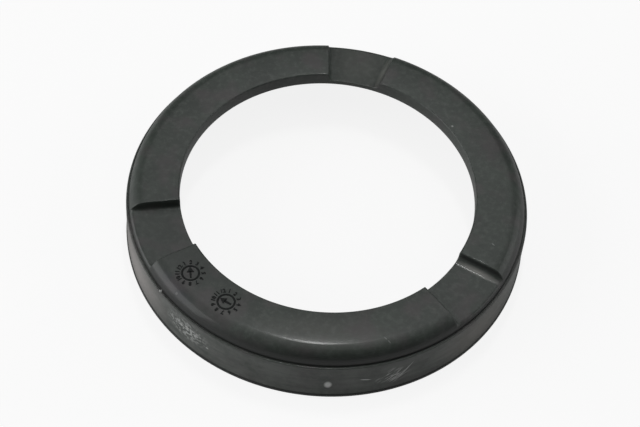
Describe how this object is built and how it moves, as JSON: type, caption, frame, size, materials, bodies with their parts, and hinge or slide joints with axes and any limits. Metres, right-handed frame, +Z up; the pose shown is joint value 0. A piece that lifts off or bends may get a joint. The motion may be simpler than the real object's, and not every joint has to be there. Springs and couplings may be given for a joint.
{
  "type": "coil spring insulator",
  "caption": "Moulded rubber ring for a coil spring seat: a thin plate with raised arc pads, a flared skirt round a hollow coil seat and an open centre.",
  "frame": {"origin": "middle of the bottom face, on the ring's axis", "axes": "+Z up along the ring's axis, from the skirt's foot to the pads"},
  "size_m": [0.15, 0.15, 0.0238],
  "materials": {
    "rubber": "moulded, matt"
  },
  "bodies": {
    "root": {"insulator_ring": "rubber"}
  },
  "joints": []
}
